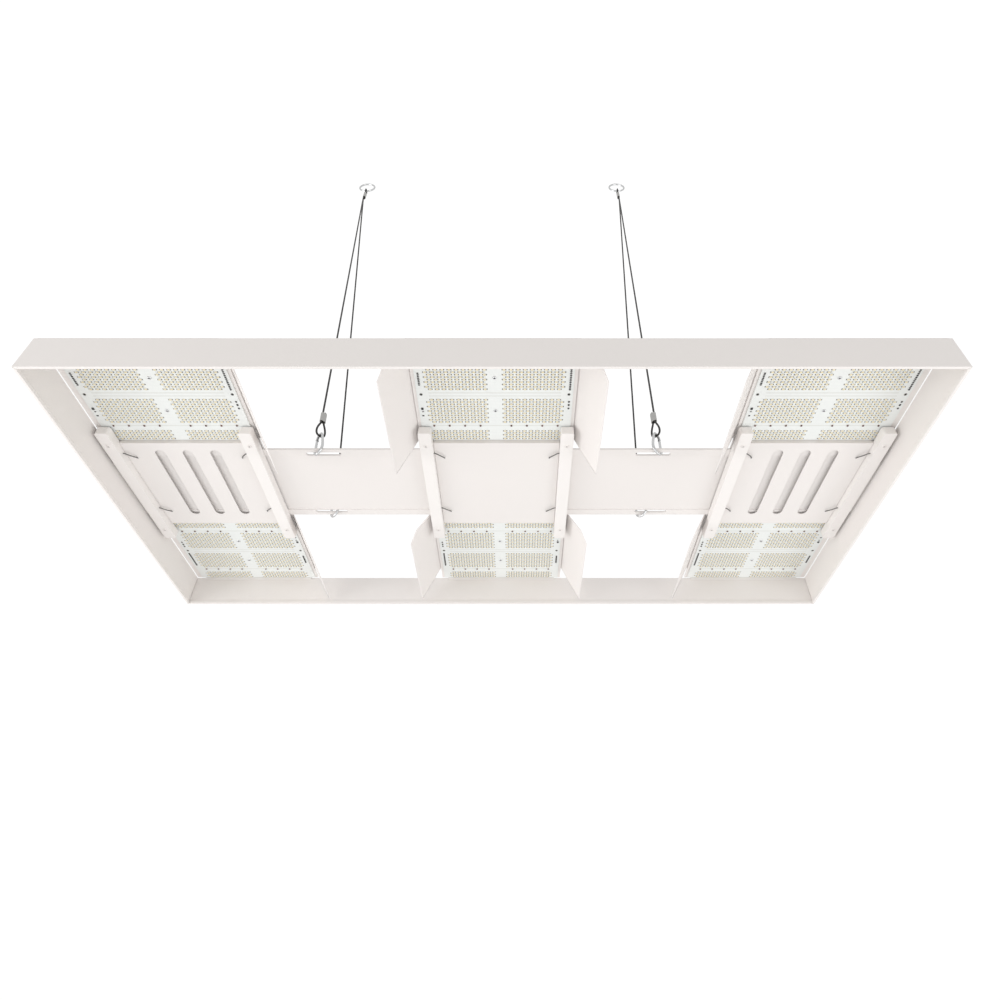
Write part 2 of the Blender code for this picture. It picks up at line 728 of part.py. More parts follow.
def eye_frame(name):
    """The eye's own frame: origin on the top bow's wire, z along the rope, x across the eye."""
    frame = hook_frame(name)
    bow_top = frame @ Vector((-BOW + TOP_BOW, 0, TOP_BOW_W + TOP_BOW))
    along = (apex(name) - bow_top).normalized()
    across = frame.to_3x3() @ Vector((0, 1, 0))
    across = (across - across.dot(along) * along).normalized()
    if across.y * y_sign(name) > 0:
        across = -across
    turn = Matrix((across, along.cross(across), along)).transposed()
    return Matrix.Translation(bow_top) @ turn.to_4x4()


def rope_route(name):
    """One wire rope: near eye, up to the ring, over it and down again to the far eye."""
    near, far = eye_frame(f"near_{name}"), eye_frame(f"far_{name}")
    up = [near @ Vector((e, 0, h)) for e, h in EYE]
    down = [far @ Vector((e, 0, h)) for e, h in reversed(EYE)]
    over = [apex(name) + Vector((0, y, z)) for y, z in TOP_EYE]
    rise = [up[-1].lerp(over[0], share) for share in (0.33, 0.67)]
    fall = [over[-1].lerp(down[0], share) for share in (0.33, 0.67)]
    return [tuple(p) for p in up + rise + over + fall + down]


def ferrule_mesh():
    """A crimped oval sleeve with one slot through it for the two strands."""
    slot = stadium(2 * (STRAND + WIRE_RADIUS + GAP), 2 * (WIRE_RADIUS + GAP), 5)
    body = stadium(2 * FERRULE_HALF[0], 2 * FERRULE_HALF[1], 5)
    half = FERRULE_LENGTH / 2
    bm = bmesh.new()
    loops = []
    for outline, z in ((body, -half), (body, half), (slot, half), (slot, -half)):
        loops.append([bm.verts.new((x, y, z)) for x, y in outline])
    for k in range(4):
        first, second = loops[k], loops[(k + 1) % 4]
        for i in range(len(first)):
            j = (i + 1) % len(first)
            bm.faces.new((first[i], first[j], second[j], second[i]))
    return mesh_from(bm, "ferrule")


def build_hangers(rim, finishes):
    steel, rope_black = finishes["steel"], finishes["rope"]
    for name in HOOK_PLACES:
        build_hook(name, hook_frame(name), rim, steel)
    ferrule = ferrule_mesh()
    for name in HOOK_PLACES:
        sleeve = add_object(f"ferrule_{name}", ferrule, rim, finishes["ferrule"])
        sleeve.matrix_local = eye_frame(name) @ Matrix.Translation((0, 0, EYE_FERRULE))
    turns = [2 * math.pi * i / 32 for i in range(32)]
    circle = [(RING_RADIUS * math.cos(t), 0, RING_RADIUS * math.sin(t)) for t in turns]
    ring_mesh = tube_mesh("ring", circle, RING_WIRE, 10, closed=True)
    for name, x in APEX_X.items():
        tube_object(f"rope_{name}", rope_route(name), WIRE_RADIUS, 2, rim, rope_black)
        sleeve = add_object(f"top_ferrule_{name}", ferrule, rim, finishes["ferrule"])
        sleeve.location = apex(name)
        sleeve.rotation_euler = (0, 0, math.radians(90))
        ring = add_object(f"ring_{name}", ring_mesh, rim, steel, 60)
        ring.location = (x, 0, RING_CENTRE)


def build():
    clear_scene()
    finishes = {
        "white": material("white_powder_coat", (0.86, 0.85, 0.84), 0.45),
        "board": material("board_white", (0.80, 0.84, 0.86), 0.40),
        "driver": material("driver_grey", (0.62, 0.63, 0.64), 0.42, 0.8),
        "black": material("black_plastic", (0.03, 0.03, 0.03), 0.5),
        "steel": material("zinc_steel", (0.70, 0.70, 0.70), 0.25, 1.0),
        "ferrule": material("ferrule_alloy", (0.55, 0.55, 0.55), 0.40, 0.9),
        "rope": material("rope_jacket", (0.02, 0.02, 0.02), 0.35),
    }
    rim = bpy.data.objects.new("frame_rim", None)
    bpy.context.collection.objects.link(rim)
    rim.location.z = -DROP
    build_frame(rim, finishes["white"])
    build_crossbar(rim, finishes["white"])
    build_columns(rim, finishes)
    build_driver(rim, finishes)
    build_leads(rim, finishes)
    build_hangers(rim, finishes)
    bpy.context.view_layer.update()


build()
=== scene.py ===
"""Looks for the LED grow light: camera, light, ropes and leads, LED boards, fasteners and every material.

Metres, in the CAD's own frame: +X along the light, +Y from its near long wall to its far one, +Z up.
The origin is where the hanger rings bear on their hooks, so the frame itself is about 1 m below it.
"""

import math

import bmesh
import bpy
import numpy as np
from mathutils import Matrix, Vector


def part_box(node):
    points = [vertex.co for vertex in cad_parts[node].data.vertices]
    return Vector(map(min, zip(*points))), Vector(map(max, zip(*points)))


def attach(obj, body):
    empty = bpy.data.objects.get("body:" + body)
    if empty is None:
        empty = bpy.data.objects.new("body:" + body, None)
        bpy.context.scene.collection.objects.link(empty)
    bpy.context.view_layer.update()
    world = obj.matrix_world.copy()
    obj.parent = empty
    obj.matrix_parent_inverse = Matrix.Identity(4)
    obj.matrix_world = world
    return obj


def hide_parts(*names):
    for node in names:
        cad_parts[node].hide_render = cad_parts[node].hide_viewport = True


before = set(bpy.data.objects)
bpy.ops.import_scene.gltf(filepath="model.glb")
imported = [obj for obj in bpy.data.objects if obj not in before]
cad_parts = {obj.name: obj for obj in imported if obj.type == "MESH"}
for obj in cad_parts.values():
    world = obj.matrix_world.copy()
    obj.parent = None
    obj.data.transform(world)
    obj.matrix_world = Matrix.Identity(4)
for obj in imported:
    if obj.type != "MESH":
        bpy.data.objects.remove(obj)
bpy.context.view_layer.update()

RIM_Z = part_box("wall_near")[0].z
NEAR_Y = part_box("wall_near")[0].y
COLUMN_PITCH = 0.437
COLUMNS = {"left": -COLUMN_PITCH, "middle": 0.0, "right": COLUMN_PITCH}
HALVES = {"near": -1, "far": 1}
HOOKS = {"near_left": -0.2527, "near_right": 0.2275, "far_left": -0.2601, "far_right": 0.2253}
MM = 0.001
LEAD_RADIUS = 0.003
LEAD_RUN_Y = 0.030

CAMERA_LENS = 23.463
CAMERA_TILT = 40.014
CAMERA_PLACE = (0.0286, NEAR_Y - 0.4726, RIM_Z - 0.5957)


# ---------------------------------------------------------------- camera, stage and light

def build_camera():
    data = bpy.data.cameras.new("camera")
    data.sensor_width = 36.0
    data.lens = CAMERA_LENS
    data.shift_x = -0.017
    camera = bpy.data.objects.new("camera", data)
    bpy.context.collection.objects.link(camera)
    camera.location = CAMERA_PLACE
    camera.rotation_euler = (math.radians(90 + CAMERA_TILT), 0, 0)
    bpy.context.scene.camera = camera


def area_light(name, place, aim, size, power, colour=(1, 1, 1)):
    data = bpy.data.lights.new(name, "AREA")
    data.shape = "DISK"
    data.size = size
    data.energy = power
    data.color = colour
    lamp = bpy.data.objects.new(name, data)
    bpy.context.collection.objects.link(lamp)
    lamp.location = place
    lamp.rotation_euler = (Vector(aim) - Vector(place)).to_track_quat("-Z", "Y").to_euler()
    lamp.visible_camera = False


def build_world():
    """A white room: pure white where the camera sees it, softer where it lights the object."""
    world = bpy.data.worlds.new("white_room")
    bpy.context.scene.world = world
    world.use_nodes = True
    tree = world.node_tree
    tree.nodes.clear()
    out = tree.nodes.new("ShaderNodeOutputWorld")
    mix = tree.nodes.new("ShaderNodeMixShader")
    path = tree.nodes.new("ShaderNodeLightPath")
    room = tree.nodes.new("ShaderNodeBackground")
    seen = tree.nodes.new("ShaderNodeBackground")
    room.inputs["Color"].default_value = (1.0, 0.99, 0.98, 1)
    room.inputs["Strength"].default_value = 0.773
    seen.inputs["Color"].default_value = (1, 1, 1, 1)
    seen.inputs["Strength"].default_value = 1.05
    tree.links.new(path.outputs["Is Camera Ray"], mix.inputs[0])
    tree.links.new(room.outputs[0], mix.inputs[1])
    tree.links.new(seen.outputs[0], mix.inputs[2])
    tree.links.new(mix.outputs[0], out.inputs[0])


def build_stage():
    """A pale floor well below the hanging light."""
    bm = bmesh.new()
    bmesh.ops.create_grid(bm, x_segments=1, y_segments=1, size=9)
    mesh = bpy.data.meshes.new("floor")
    bm.to_mesh(mesh)
    bm.free()
    floor = bpy.data.objects.new("floor", mesh)
    bpy.context.collection.objects.link(floor)
    floor.location.z = RIM_Z - 1.6
    floor.data.materials.append(plain_floor())


def build_lights():
    middle = (0, 0, RIM_Z)
    area_light("below", (0, -0.3, RIM_Z - 1.45), middle, 2.4, 4.5)
    area_light("below_left", (-1.6, -0.3, RIM_Z - 1.2), middle, 1.6, 4.6)
    area_light("below_right", (1.6, -0.3, RIM_Z - 1.2), middle, 1.6, 11.2)
    area_light("side_left", (-2.2, -0.6, RIM_Z - 0.5), middle, 1.6, 19.0)


# ---------------------------------------------------------------- material helpers

def new_material(name, roughness=0.5, metallic=0.0, **settings):
    made = bpy.data.materials.new(name)
    made.use_nodes = True
    tree = made.node_tree
    shader = tree.nodes["Principled BSDF"]
    shader.inputs["Roughness"].default_value = roughness
    shader.inputs["Metallic"].default_value = metallic
    for label, value in settings.items():
        shader.inputs[label.replace("_", " ")].default_value = value
    return made, tree, shader


def add(tree, kind, links=(), **settings):
    """A node with its settings: names in lower case are properties, the others are input sockets."""
    made = tree.nodes.new(kind)
    for label, value in settings.items():
        if label[0].islower():
            setattr(made, label, value)
        else:
            made.inputs[label.replace("_", " ")].default_value = value
    for socket, source in links:
        tree.links.new(source, made.inputs[socket])
    return made


def object_place(tree, scale=(1, 1, 1), turn=(0, 0, 0)):
    coordinates = add(tree, "ShaderNodeTexCoord")
    mapping = add(tree, "ShaderNodeMapping", [("Vector", coordinates.outputs["Object"])])
    mapping.inputs["Scale"].default_value = scale
    mapping.inputs["Rotation"].default_value = turn
    return mapping.outputs["Vector"]


def noise(tree, place, scale, detail=2.0, roughness=0.5):
    made = add(
        tree, "ShaderNodeTexNoise", [("Vector", place)], Scale=scale, Detail=detail, Roughness=roughness,
    )
    return made.outputs["Fac"]


def spread(tree, value, low, high, from_low=0.0, from_high=1.0):
    made = add(tree, "ShaderNodeMapRange", [("Value", value)])
    made.inputs["From Min"].default_value = from_low
    made.inputs["From Max"].default_value = from_high
    made.inputs["To Min"].default_value = low
    made.inputs["To Max"].default_value = high
    return made.outputs["Result"]


def mix_colours(tree, factor, first, second):
    made = add(tree, "ShaderNodeMix", data_type="RGBA")
    tree.links.new(factor, made.inputs["Factor"])
    for socket, colour in ((6, first), (7, second)):
        if isinstance(colour, tuple):
            made.inputs[socket].default_value = (*colour, 1)
        else:
            tree.links.new(colour, made.inputs[socket])
    return made.outputs[2]


def bump(tree, shader, height, strength, distance, normal=None):
    made = add(tree, "ShaderNodeBump", [("Height", height)], Strength=strength, Distance=distance)
    if normal:
        tree.links.new(normal, made.inputs["Normal"])
    tree.links.new(made.outputs["Normal"], shader.inputs["Normal"])


def edge_mask(tree, radius):
    """Near 1 on sharp edges and 0 on flat faces, with the normal of the same softly rounded edge."""
    rounded = add(tree, "ShaderNodeBevel", Radius=radius, samples=4).outputs["Normal"]
    flat = add(tree, "ShaderNodeNewGeometry").outputs["Normal"]
    alike = add(tree, "ShaderNodeVectorMath", operation="DOT_PRODUCT")
    tree.links.new(rounded, alike.inputs[0])
    tree.links.new(flat, alike.inputs[1])
    return spread(tree, alike.outputs["Value"], 1, 0, 0.86, 0.995), rounded


# ---------------------------------------------------------------- materials

def plain_floor():
    made, tree, shader = new_material("floor_paint", 0.85)
    cloud = noise(tree, object_place(tree), 1.5)
    colour = mix_colours(tree, cloud, (0.86, 0.86, 0.86), (0.89, 0.89, 0.89))
    tree.links.new(colour, shader.inputs["Base Color"])
    return made


def powder_coat(name, colour):
    """Satin powder coat: orange peel, faint clouding, and edges where the coat is thin."""
    made, tree, shader = new_material(name, 0.45, Specular_IOR_Level=0.4)
    place = object_place(tree)
    peel = noise(tree, place, 700, 2.0)
    cloud = noise(tree, place, 9, 3.0)
    edge, rounded = edge_mask(tree, 0.0006)
    thin = tuple(c * 0.90 for c in colour)
    shade = tuple(c * 0.975 for c in colour)
    body = mix_colours(tree, cloud, shade, colour)
    worn = spread(tree, edge, 0, 0.5)
    tree.links.new(mix_colours(tree, worn, body, thin), shader.inputs["Base Color"])
    tree.links.new(spread(tree, cloud, 0.40, 0.52), shader.inputs["Roughness"])
    bump(tree, shader, peel, 0.20, 0.00012, rounded)
    return made


def solder_mask():
    """The board's white mask: glossy, with a faint tint and the relief of copper fill below it."""
    made, tree, shader = new_material("board_mask", 0.34, Specular_IOR_Level=0.5)
    place = object_place(tree)
    cloud = noise(tree, place, 30, 3.0)
    pour = add(tree, "ShaderNodeTexBrick", [("Vector", place)], Scale=45.0)
    pour.inputs["Mortar Size"].default_value = 0.012
    pour.inputs["Mortar Smooth"].default_value = 0.4
    base = mix_colours(tree, cloud, (0.812, 0.832, 0.822), (0.850, 0.870, 0.850))
    lines = spread(tree, pour.outputs["Fac"], 0, 0.35)
    tree.links.new(mix_colours(tree, lines, base, (0.74, 0.77, 0.76)), shader.inputs["Base Color"])
    tree.links.new(spread(tree, cloud, 0.28, 0.42), shader.inputs["Roughness"])
    bump(tree, shader, pour.outputs["Fac"], -0.3, 0.00006)
    return made


def grained_metal(name, light, dark, roughness, along=(1, 1, 1), bump_size=0.00003):
    """Rolled, drawn or plated metal: fine lines along one direction, smudges and brighter worn edges."""
    made, tree, shader = new_material(name, roughness, 1.0)
    lines = noise(tree, object_place(tree, along), 900, 3.0, 0.6)
    smudge = noise(tree, object_place(tree), 25, 3.0)
    edge, rounded = edge_mask(tree, 0.0004)
    body = mix_colours(tree, spread(tree, lines, 0.2, 0.8), dark, light)
    bright = tuple(min(1.0, c * 1.12) for c in light)
    tree.links.new(mix_colours(tree, spread(tree, edge, 0, 0.7), body, bright), shader.inputs["Base Color"])
    tree.links.new(spread(tree, smudge, roughness - 0.07, roughness + 0.10), shader.inputs["Roughness"])
    bump(tree, shader, lines, 0.3, bump_size, rounded)
    return made


def moulded_plastic(name, colour, roughness=0.5, grain=0.00005):
    """Moulded plastic: a fine spark-eroded grain and slightly polished edges."""
    made, tree, shader = new_material(name, roughness)
    place = object_place(tree)
    grains = noise(tree, place, 1400, 2.0)
    cloud = noise(tree, place, 40, 2.0)
    edge, rounded = edge_mask(tree, 0.0005)
    body = mix_colours(tree, cloud, tuple(c * 0.85 for c in colour), colour)
    light = tuple(min(1.0, c * 1.6 + 0.01) for c in colour)
    tree.links.new(mix_colours(tree, spread(tree, edge, 0, 0.5), body, light), shader.inputs["Base Color"])
    tree.links.new(spread(tree, cloud, roughness - 0.08, roughness + 0.08), shader.inputs["Roughness"])
    bump(tree, shader, grains, 0.35, grain, rounded)
    return made


def phosphor(name, light, dark):
    """A package's phosphor fill: grainy, slightly translucent yellow silicone."""
    made, tree, shader = new_material(name, 0.38, Specular_IOR_Level=0.35)
    place = object_place(tree)
    grains = noise(tree, place, 2600, 2.0)
    batch = noise(tree, place, 160, 1.0)
    tone = add(tree, "ShaderNodeMath", operation="MULTIPLY")
    tree.links.new(grains, tone.inputs[0])
    tree.links.new(batch, tone.inputs[1])
    factor = spread(tree, tone.outputs[0], 0, 1, 0.12, 0.40)
    tree.links.new(mix_colours(tree, factor, dark, light), shader.inputs["Base Color"])
    bump(tree, shader, grains, 0.2, 0.00004)
    return made


def rope_jacket():
    """A clear-coated black wire rope: its strands show as a helix, darker in the grooves between them as
    painted shade. The tube's UV is in metres along it.
    """
    strands, lay_length = 6, 0.013
    made, tree, shader = new_material("rope_jacket", 0.36, Specular_IOR_Level=0.5)
    uv = add(tree, "ShaderNodeUVMap", uv_map="around_along").outputs["UV"]
    parts = add(tree, "ShaderNodeSeparateXYZ", [("Vector", uv)])
    along = add(tree, "ShaderNodeMath", [(0, parts.outputs["Y"])], operation="MULTIPLY")
    along.inputs[1].default_value = strands * 2 * math.pi / lay_length
    around = add(tree, "ShaderNodeMath", [(0, parts.outputs["X"])], operation="MULTIPLY")
    around.inputs[1].default_value = strands * 2 * math.pi
    turned = add(tree, "ShaderNodeMath", [(0, along.outputs[0]), (1, around.outputs[0])], operation="ADD")
    wave = add(tree, "ShaderNodeMath", [(0, turned.outputs[0])], operation="SINE").outputs[0]
    strand = spread(tree, wave, 0, 1, -1, 1)
    # Painted shade: the colour is darkest where the strands meet and lighter on their crowns.
    colour = mix_colours(tree, strand, (0.008, 0.008, 0.008), (0.035, 0.034, 0.033))
    tree.links.new(colour, shader.inputs["Base Color"])
    tree.links.new(spread(tree, strand, 0.46, 0.30), shader.inputs["Roughness"])
    bump(tree, shader, strand, 0.6, 0.00015)
    return made


def cable_jacket(name, colour):
    """Rubber-like jacket with faint drawing lines and dust."""
    made, tree, shader = new_material(name, 0.48)
    place = object_place(tree)
    dust = noise(tree, place, 120, 3.0)
    fine = noise(tree, place, 1600, 1.0)
    light = tuple(c * 1.9 + 0.01 for c in colour)
    dusty = mix_colours(tree, spread(tree, dust, 0, 0.6), colour, light)
    tree.links.new(dusty, shader.inputs["Base Color"])
    tree.links.new(spread(tree, dust, 0.40, 0.58), shader.inputs["Roughness"])
    bump(tree, shader, fine, 0.25, 0.00005)
    return made


# ---------------------------------------------------------------- mesh helpers

def finish_mesh(bm, name, materials, smooth_angle=None):
    mesh = bpy.data.meshes.new(name)
    bm.to_mesh(mesh)
    bm.free()
    for finish in materials:
        mesh.materials.append(finish)
    if smooth_angle:
        mesh.shade_smooth()
        mesh.set_sharp_from_angle(angle=math.radians(smooth_angle))
    return mesh


def place_piece(name, mesh, where=Matrix.Identity(4)):
    made = bpy.data.objects.new(name, mesh)
    bpy.context.collection.objects.link(made)
    made.matrix_world = where
    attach(made, "fixture")
    return made


def rectangle(x, y, z, width, depth):
    """Four corners whose face looks down."""
    a, b = width / 2, depth / 2
    return [(x - a, y - b, z), (x - a, y + b, z), (x + a, y + b, z), (x + a, y - b, z)]


def disc(x, y, z, radius, sides):
    turns = [-2 * math.pi * i / sides for i in range(sides)]
    return [(x + radius * math.cos(t), y + radius * math.sin(t), z) for t in turns]


def shell(bm, loops, slots):
    """Faces between loops, outermost first, closed by the last; slots has a material number per band."""
    rows = [[bm.verts.new(point) for point in loop] for loop in loops]
    for band, (outer, inner) in enumerate(zip(rows, rows[1:])):
        for i in range(len(outer)):
            j = (i + 1) % len(outer)
            bm.faces.new((outer[i], outer[j], inner[j], inner[i])).material_index = slots[band]
    bm.faces.new(rows[-1]).material_index = slots[-1]


def round_path(points, per_span):
    """Points along a Catmull-Rom curve through the given points."""
    given = [2 * np.array(points[0]) - np.array(points[1])] + [np.array(p, float) for p in points]
    given.append(2 * given[-1] - given[-2])
    curve = []
    for i in range(1, len(given) - 2):
        p0, p1, p2, p3 = given[i - 1 : i + 3]
        for k in range(per_span):
            t = k / per_span
            curve.append(
                0.5 * (2 * p1 + (p2 - p0) * t + (2 * p0 - 5 * p1 + 4 * p2 - p3) * t**2
                       + (3 * p1 - p0 - 3 * p2 + p3) * t**3)
            )
    curve.append(given[-2])
    return [Vector(p) for p in curve]


def tube(name, points, radius, sides, finish, taper=None):
    """A tube with closed ends along a path, with a UV map of turns around and metres along it."""
    points = [Vector(p) for p in points]
    bm = bmesh.new()
    uv = bm.loops.layers.uv.new("around_along")
    rows, walked = [], [0.0]
    side = None
    for i, point in enumerate(points):
        along = (points[min(i + 1, len(points) - 1)] - points[max(i - 1, 0)]).normalized()
        if side is None:
            side = along.orthogonal().normalized()
        side = (side - side.dot(along) * along).normalized()
        other = along.cross(side)
        size = radius * (taper(i / (len(points) - 1)) if taper else 1.0)
        turns = [2 * math.pi * k / sides for k in range(sides)]
        ring = [point + size * (math.cos(t) * side + math.sin(t) * other) for t in turns]
        rows.append([bm.verts.new(place) for place in ring])
        if i:
            walked.append(walked[-1] + (point - points[i - 1]).length)
    for i in range(len(rows) - 1):
        for k in range(sides):
            j = (k + 1) % sides
            face = bm.faces.new((rows[i][k], rows[i][j], rows[i + 1][j], rows[i + 1][k]))
            places = ((k, i), (k + 1, i), (k + 1, i + 1), (k, i + 1))
            for loop, (around, row) in zip(face.loops, places):
                loop[uv].uv = (around / sides, walked[row])
    bm.faces.new(list(reversed(rows[0])))
    bm.faces.new(rows[-1])
    return place_piece(name, finish_mesh(bm, name, [finish], 50))


# ---------------------------------------------------------------- ropes and leads

ROPE_RADIUS = 0.0015
APEX_X = {"left": -0.3393, "right": 0.2732}
APEX_UP = 0.981
HOOK_UP = 0.0472
HOOK_Y = 0.0708
BOW = 0.0095
TOP_BOW = 0.006
TOP_BOW_W = 0.038
STRAND = 0.0019
EYE = [
    (STRAND, 0.0515), (STRAND, 0.0480), (STRAND, 0.0385), (STRAND, 0.0290), (0.0030, 0.0240),
    (0.0048, 0.0185), (0.0062, 0.0130), (0.0069, 0.0075), (0.0066, 0.0025), (0.0052, -0.0012),
    (0.0028, -0.0031), (0.0, -0.0038),
    (-0.0028, -0.0031), (-0.0052, -0.0012), (-0.0066, 0.0025), (-0.0069, 0.0075), (-0.0062, 0.0130),
    (-0.0048, 0.0185), (-0.0030, 0.0240), (-STRAND, 0.0290), (-STRAND, 0.0385), (-STRAND, 0.0480),
    (-STRAND, 0.0600), (-STRAND, 0.0850),
]
TOP_EYE = [
    (-STRAND, -0.0320), (-STRAND, -0.0120), (-STRAND, 0.0), (-STRAND, 0.0100), (-0.0028, 0.0135),
    (-0.0042, 0.0180), (-0.0050, 0.0225), (-0.0043, 0.0251), (-0.0025, 0.0268), (0.0, 0.0275),
    (0.0025, 0.0268), (0.0043, 0.0251), (0.0050, 0.0225), (0.0042, 0.0180), (0.0028, 0.0135),
    (STRAND, 0.0100), (STRAND, 0.0), (STRAND, -0.0120), (STRAND, -0.0320),
]


def apex(name):
    """Where a rope's two strands meet, in its top ferrule."""
    return Vector((APEX_X[name.split("_")[-1]], 0, RIM_Z + APEX_UP))


def hook_frame(name):
    """A snap hook's own frame: z along the hook to its rope, x across it, origin on its lowest point."""
    x, near = HOOKS[name], name.startswith("near")
    base = Vector((x, -HOOK_Y if near else HOOK_Y, RIM_Z + HOOK_UP))
    up = (apex(name) - base).normalized()
    across = Vector((-1 if name == "near_right" else 1, -1, 0))
    across = (across - across.dot(up) * up).normalized()
    turn = Matrix((across, up.cross(across), up)).transposed()
    return Matrix.Translation(base) @ turn.to_4x4()


def eye_frame(name):
    """The rope eye's own frame: z along the rope, x across the eye, origin on the hook's top bow."""
    hook = hook_frame(name)
    bow = hook @ Vector((-BOW + TOP_BOW, 0, TOP_BOW_W + TOP_BOW))
    along = (apex(name) - bow).normalized()
    across = hook.to_3x3() @ Vector((0, 1, 0))
    across = (across - across.dot(along) * along).normalized()
    if (across.y > 0) == name.startswith("far"):
        across = -across
    turn = Matrix((across, along.cross(across), along)).transposed()
    return Matrix.Translation(bow) @ turn.to_4x4()


def rope_route(name):
    near, far = eye_frame(f"near_{name}"), eye_frame(f"far_{name}")
    up = [near @ Vector((e, 0, h)) for e, h in EYE]
    down = [far @ Vector((e, 0, h)) for e, h in reversed(EYE)]
    over = [apex(name) + Vector((0, y, z)) for y, z in TOP_EYE]
    rise = [up[-1].lerp(over[0], share) for share in (0.33, 0.67)]
    fall = [over[-1].lerp(down[0], share) for share in (0.33, 0.67)]
    return up + rise + over + fall + down


def build_ropes(finish):
    for name in ("left", "right"):
        route = round_path(rope_route(name), 4)
        rope = tube(f"wire_rope_{name}", route, ROPE_RADIUS, 12, finish)
        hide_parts(f"rope_{name}")


def lead_route(side):
    """The low-voltage lead from the output block, back beside the driver and out along the crossbar."""
    lift = 0.0033
    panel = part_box("panel_middle")[1].z + lift
    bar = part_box("crossbar")[1].z + lift
    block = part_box("output_block")
    start, exit_z = block[1].y + 0.0003, (block[0].z + block[1].z) / 2
    route = [
        (0.010, start, exit_z), (0.010, start + 0.008, exit_z - 0.001),
        (0.0125, start + 0.018, exit_z - 0.008), (0.021, start + 0.027, panel + 0.005),
        (0.036, start + 0.031, panel + 0.001), (0.053, start + 0.028, panel),
        (0.069, start + 0.017, panel), (0.079, start + 0.001, panel), (0.0825, start - 0.018, panel),
        (0.0825, 0.105, panel), (0.0825, 0.080, panel), (0.0835, 0.060, panel),
        (0.0880, 0.044, panel), (0.0975, 0.034, panel), (0.110, LEAD_RUN_Y, panel),
        (0.122, LEAD_RUN_Y, panel - 0.0010), (0.138, LEAD_RUN_Y, bar), (0.170, LEAD_RUN_Y, bar),
        (0.215, LEAD_RUN_Y, bar), (0.260, LEAD_RUN_Y, bar), (0.298, LEAD_RUN_Y, bar),
        (0.314, LEAD_RUN_Y, panel - 0.0010), (0.328, LEAD_RUN_Y, panel + 0.0002),
        (0.345, LEAD_RUN_Y, panel + 0.0010), (0.3667, LEAD_RUN_Y, panel + 0.0016),
    ]
    return [(side * x, y, z) for x, y, z in route]


def build_leads(finish):
    for name, side in (("left", -1), ("right", 1)):
        route = round_path(lead_route(side), 6)
        lead = tube(f"low_voltage_lead_{name}", route, LEAD_RADIUS, 16, finish)
        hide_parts(f"lead_{name}")


# ---------------------------------------------------------------- LED boards

LED_PITCH = 8.85
LED_FIRST = 12.3
# first row, pitch and number of rows, from the board's middle
LED_GROUPS = ((8.9, 7.9, 6), (65.3, 7.25, 3))
LEDS_ACROSS = 9
RED_ROWS = (-55.0 * MM, 55.0 * MM)
RED_COLUMNS = [side * 21.0 * MM * i for side in (-1, 1) for i in range(1, 5)]


def led_places():
    """Straight rows of nine LEDs each side of the middle, with a second set in the gaps between them."""
    for first, pitch, rows in LED_GROUPS:
        for side_x in (-1, 1):
            for side_y in (-1, 1):
                for i in range(LEDS_ACROSS):
                    for j in range(rows):
                        x, y = LED_FIRST + LED_PITCH * i, first + pitch * j
                        yield side_x * x * MM, side_y * y * MM
                        if j < rows - 1:
                            yield side_x * (x + LED_PITCH / 2) * MM, side_y * (y + pitch / 2) * MM


def led_mesh(finishes):
    """Every white LED of one board half, on its pads, facing down from z = 0."""
    bm = bmesh.new()
    tall = 0.0007
    for x, y in led_places():
        shell(
            bm,
            [
                rectangle(x, y, 0, 3.5 * MM, 2.8 * MM), rectangle(x, y, -tall, 3.36 * MM, 2.66 * MM),
                rectangle(x, y, -tall + 0.0001, 2.5 * MM, 2.0 * MM),
            ],
            [0, 0, 1],
        )
        # The pad at each end is dark brown-grey: partly the contacts, partly painted shade beside the
        # package.
        for end in (-1, 1):
            foot = x + end * 2.35 * MM
            shell(
                bm,
                [
                    rectangle(foot, y, 0, 1.3 * MM, 2.1 * MM),
                    rectangle(foot, y, -0.00016, 1.1 * MM, 1.9 * MM),
                ],
                [2, 2],
            )
    return finish_mesh(bm, "white_leds", [finishes["package"], finishes["phosphor"], finishes["pad"]])


def trace_mesh(finishes):
    """The copper runs that show through the mask between the LEDs of one board half."""
    bm = bmesh.new()
    proud = -0.00004
    for x in [side * (LED_FIRST + LED_PITCH * i) * MM for side in (-1, 1) for i in range(LEDS_ACROSS)]:
        for first, pitch, rows in LED_GROUPS:
            height = pitch * (rows - 1)
            for side in (-1, 1):
                middle, length = side * (first + height / 2) * MM, (height + 5) * MM
                shell(
                    bm,
                    [
                        rectangle(x, middle, 0, 1.5 * MM, length),
                        rectangle(x, middle, proud, 1.3 * MM, length - 0.0002),
                    ],
                    [0, 0],
                )
    for y in (RED_ROWS[0], -2.6 * MM, 2.6 * MM, RED_ROWS[1]):
        shell(
            bm,
            [rectangle(0, y, 0, 172 * MM, 1.6 * MM), rectangle(0, y, proud, 171.8 * MM, 1.4 * MM)],
            [0, 0],
        )
    return finish_mesh(bm, "copper_runs", [finishes["trace"]])


def red_mesh(finishes):
    """The deep-red LEDs: a ceramic base with a domed clear lens over a dark die."""
    bm = bmesh.new()
    for x in RED_COLUMNS:
        for y in RED_ROWS:
            shell(
                bm,
                [rectangle(x, y, 0, 3.5 * MM, 3.5 * MM), rectangle(x, y, -0.0006, 3.4 * MM, 3.4 * MM)],
                [0, 0],
            )
            domes = [(1.5, 0.0006), (1.45, 0.0009), (1.15, 0.0014), (0.6, 0.0017)]
            shell(bm, [disc(x, y, -z, r * MM, 14) for r, z in domes], [1, 1, 1, 1])
    return finish_mesh(bm, "red_leds", [finishes["package"], finishes["red_lens"]], 50)


